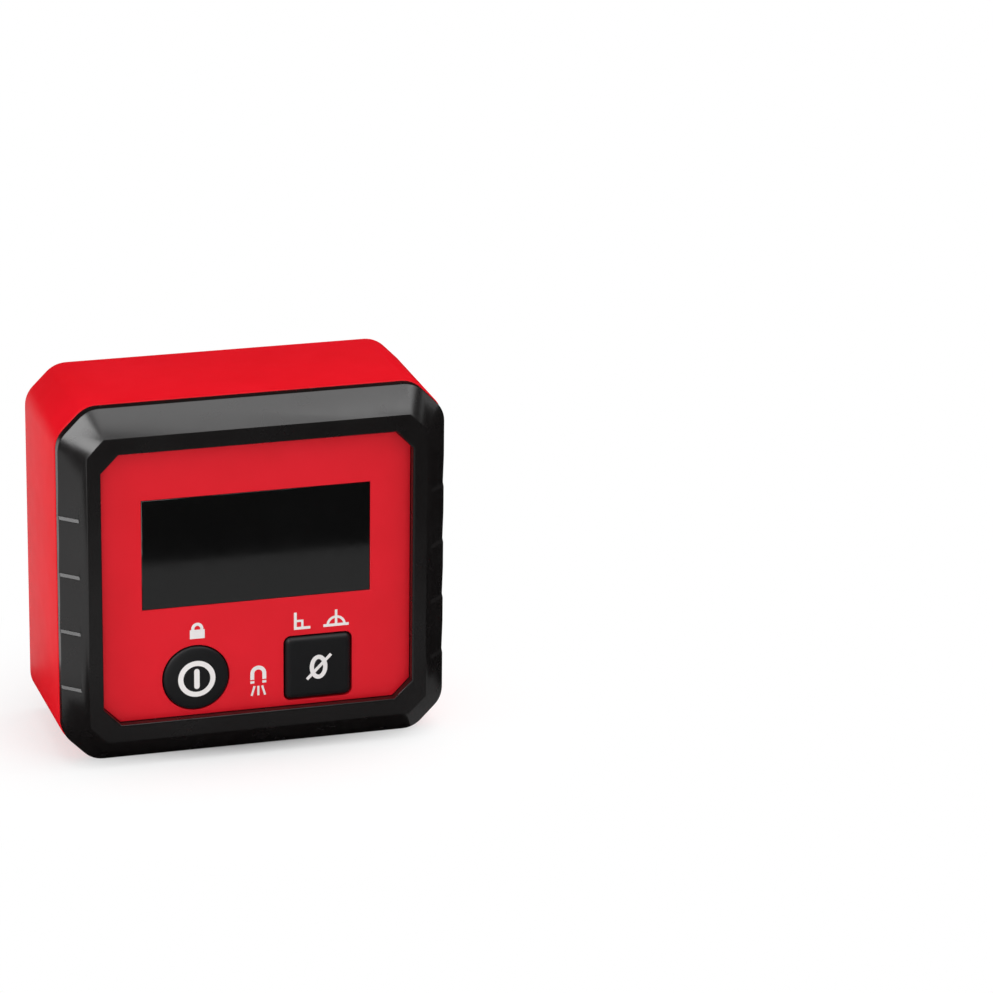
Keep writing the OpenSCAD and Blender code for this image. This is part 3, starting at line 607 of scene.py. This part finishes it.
def seen_rays(tree):
    """One for rays from the camera and for those that reflection or glass sends on."""
    path = tree.nodes.new("ShaderNodeLightPath")
    seen = path.outputs["Is Camera Ray"]
    for kind in ("Is Glossy Ray", "Is Transmission Ray"):
        both = tree.nodes.new("ShaderNodeMath")
        both.operation = "MAXIMUM"
        tree.links.new(seen, both.inputs[0])
        tree.links.new(path.outputs[kind], both.inputs[1])
        seen = both.outputs["Value"]
    return seen


def distance_fade(tree, near, far):
    """Rises from zero at the near distance from the gauge's middle to one at the far distance."""
    place = tree.nodes.new("ShaderNodeNewGeometry")
    length = tree.nodes.new("ShaderNodeVectorMath")
    length.operation = "LENGTH"
    tree.links.new(place.outputs["Position"], length.inputs[0])
    fade = add_node(tree, "ShaderNodeMapRange", From_Min=near, From_Max=far)
    fade.interpolation_type = "SMOOTHSTEP"
    tree.links.new(length.outputs["Value"], fade.inputs["Value"])
    return fade.outputs["Result"]


def make_floor():
    half = FLOOR_SIZE / 2
    floor = flat_sheet("floor", -half, half, -half, half, 0)
    made, tree, shader = new_material("floor_paper")
    shader.inputs["Base Color"].default_value = FLOOR_COLOUR
    shader.inputs["Roughness"].default_value = FLOOR_ROUGHNESS
    shader.inputs["Specular IOR Level"].default_value = 0.0
    white = add_node(tree, "ShaderNodeEmission", Strength=1.0)
    share = tree.nodes.new("ShaderNodeMath")
    share.operation = "MULTIPLY"
    tree.links.new(seen_rays(tree), share.inputs[0])
    tree.links.new(distance_fade(tree, FADE_NEAR, FADE_FAR), share.inputs[1])
    blend = tree.nodes.new("ShaderNodeMixShader")
    tree.links.new(share.outputs["Value"], blend.inputs["Fac"])
    tree.links.new(shader.outputs["BSDF"], blend.inputs[1])
    tree.links.new(white.outputs["Emission"], blend.inputs[2])
    tree.links.new(blend.outputs["Shader"], tree.nodes["Material Output"].inputs["Surface"])
    paint(floor, made)


def make_world():
    world = bpy.data.worlds.new("studio")
    bpy.context.scene.world = world
    world.use_nodes = True
    tree = world.node_tree
    ground = tree.nodes["Background"]
    ground.inputs["Color"].default_value = WHITE
    strength = add_node(tree, "ShaderNodeMapRange", To_Min=WORLD_FILL, To_Max=1.0)
    tree.links.new(seen_rays(tree), strength.inputs["Value"])
    tree.links.new(strength.outputs["Result"], ground.inputs["Strength"])


def flag_material(name, shade):
    """Plain card that glows with one shade, which no lamp changes: a painted reflection."""
    made, tree = new_material(name)[:2]
    glow = add_node(tree, "ShaderNodeEmission", Strength=shade)
    tree.links.new(glow.outputs["Emission"], tree.nodes["Material Output"].inputs["Surface"])
    return made


def only_reflected(flag, made):
    """A flag is seen in gloss alone: the camera passes it, and it neither lights nor shades."""
    paint(flag, made)
    flag.visible_camera = False
    flag.visible_diffuse = False
    flag.visible_transmission = False
    flag.visible_shadow = False


def make_flags():
    """Cards of one shade each, from X to X and from Y to Y, and a dark band round them all."""
    for name, shade, x0, x1, y0, y1 in (
        ("flag_far", 0.03, -FLAG_REACH, FLAG_REACH, -FLAG_REACH, FLAG_FAR_Y),
        ("flag_middle", 0.31, FLAG_LEFT_X, FLAG_RIGHT_X, FLAG_FAR_Y, FLAG_MIDDLE_Y),
        ("flag_dim", 0.15, FLAG_LEFT_X, FLAG_RIGHT_X, FLAG_MIDDLE_Y, FLAG_NEAR_Y),
        ("flag_near", 0.0, FLAG_LEFT_X, FLAG_CORNER_X, FLAG_NEAR_Y, FLAG_BACK_Y),
        ("flag_corner", 0.2, FLAG_CORNER_X, FLAG_RIGHT_X, FLAG_NEAR_Y, FLAG_BACK_Y),
        ("flag_left", 0.8, -FLAG_REACH, FLAG_LEFT_X, FLAG_FAR_Y, FLAG_BACK_Y),
        ("flag_back", 0.65, -FLAG_REACH, FLAG_RIGHT_X, FLAG_BACK_Y, FLAG_REACH),
        ("flag_right", 0.0, FLAG_RIGHT_X, FLAG_REACH, FLAG_FAR_Y, FLAG_REACH),
    ):
        only_reflected(flat_sheet(name, x0, x1, y0, y1, FLAG_LIFT), flag_material(name, shade))
    work = bmesh.new()
    bmesh.ops.create_cone(work, cap_ends=False, segments=BAND_SIDES, radius1=BAND_RADIUS,
                          radius2=BAND_RADIUS, depth=BAND_HEIGHT)
    bmesh.ops.translate(work, verts=work.verts, vec=(0, 0, BAND_HEIGHT / 2))
    mesh = bpy.data.meshes.new("flag_band")
    work.to_mesh(mesh)
    work.free()
    band = bpy.data.objects.new("flag_band", mesh)
    bpy.context.scene.collection.objects.link(band)
    only_reflected(band, flag_material("flag_band", 0.0))


def softbox(name, direction, distance, width, height, watts, glossy=True, diffuse=True):
    """Area lamp that faces the gauge from a direction, and may be left out of gloss or of colour."""
    data = bpy.data.lights.new(name, "AREA")
    data.shape = "RECTANGLE"
    data.size = width
    data.size_y = height
    data.energy = watts
    lamp = bpy.data.objects.new(name, data)
    aim = Vector((0, 0, PANEL_Z))
    lamp.location = aim + Vector(direction).normalized() * distance
    lamp.rotation_euler = (aim - lamp.location).to_track_quat("-Z", "Y").to_euler()
    lamp.visible_glossy = glossy
    lamp.visible_diffuse = diffuse
    bpy.context.scene.collection.objects.link(lamp)


def make_lamps():
    """Soft lamps, each with its direction, distance, width, height and watts."""
    softbox("key_box", (-0.69, -0.4, 0.6), 0.24, 0.17, 0.12, 0.48, diffuse=False)
    softbox("left_box", (-0.97, -0.2, 0.08), 0.5, 0.2, 0.2, 1.1, glossy=False)
    softbox("top_box", (0.42, -0.3, 0.86), 1.2, 1.45, 1.45, 15.2)
    softbox("fill_box", (-0.55, -0.83, 0.1), 0.14, 0.1, 0.1, 0.029)
    softbox("sky_box", (-0.05, 0.1, 0.99), 1.2, 0.6, 0.6, 1.9, glossy=False)
    softbox("rim_box", (0.94, -0.12, 0.36), 0.6, 0.09, 0.09, 0.06)
    softbox("edge_box", (0.55, -0.33, 0.77), 1.1, 0.12, 0.3, 0.5, diffuse=False)
    softbox("back_box", (0.1, 0.98, 0.14), 1.0, 0.8, 0.8, 2.0, glossy=False)


make_floor()
make_world()
make_flags()
make_lamps()


# Camera

def make_camera():
    data = bpy.data.cameras.new("camera")
    data.sensor_width = SENSOR
    data.lens = FOCAL_PX / PHOTO_PX * SENSOR
    camera = bpy.data.objects.new("camera", data)
    yaw = Matrix.Rotation(math.radians(CAMERA_AZIMUTH), 4, "Z")
    pitch = Matrix.Rotation(math.radians(90 - CAMERA_ELEVATION), 4, "X")
    roll = Matrix.Rotation(math.radians(CAMERA_ROLL), 4, "Z")
    camera.matrix_world = Matrix.Translation(CAMERA_PLACE) @ yaw @ pitch @ roll
    bpy.context.scene.collection.objects.link(camera)
    bpy.context.scene.camera = camera


make_camera()
bpy.context.scene.view_settings.view_transform = "Standard"
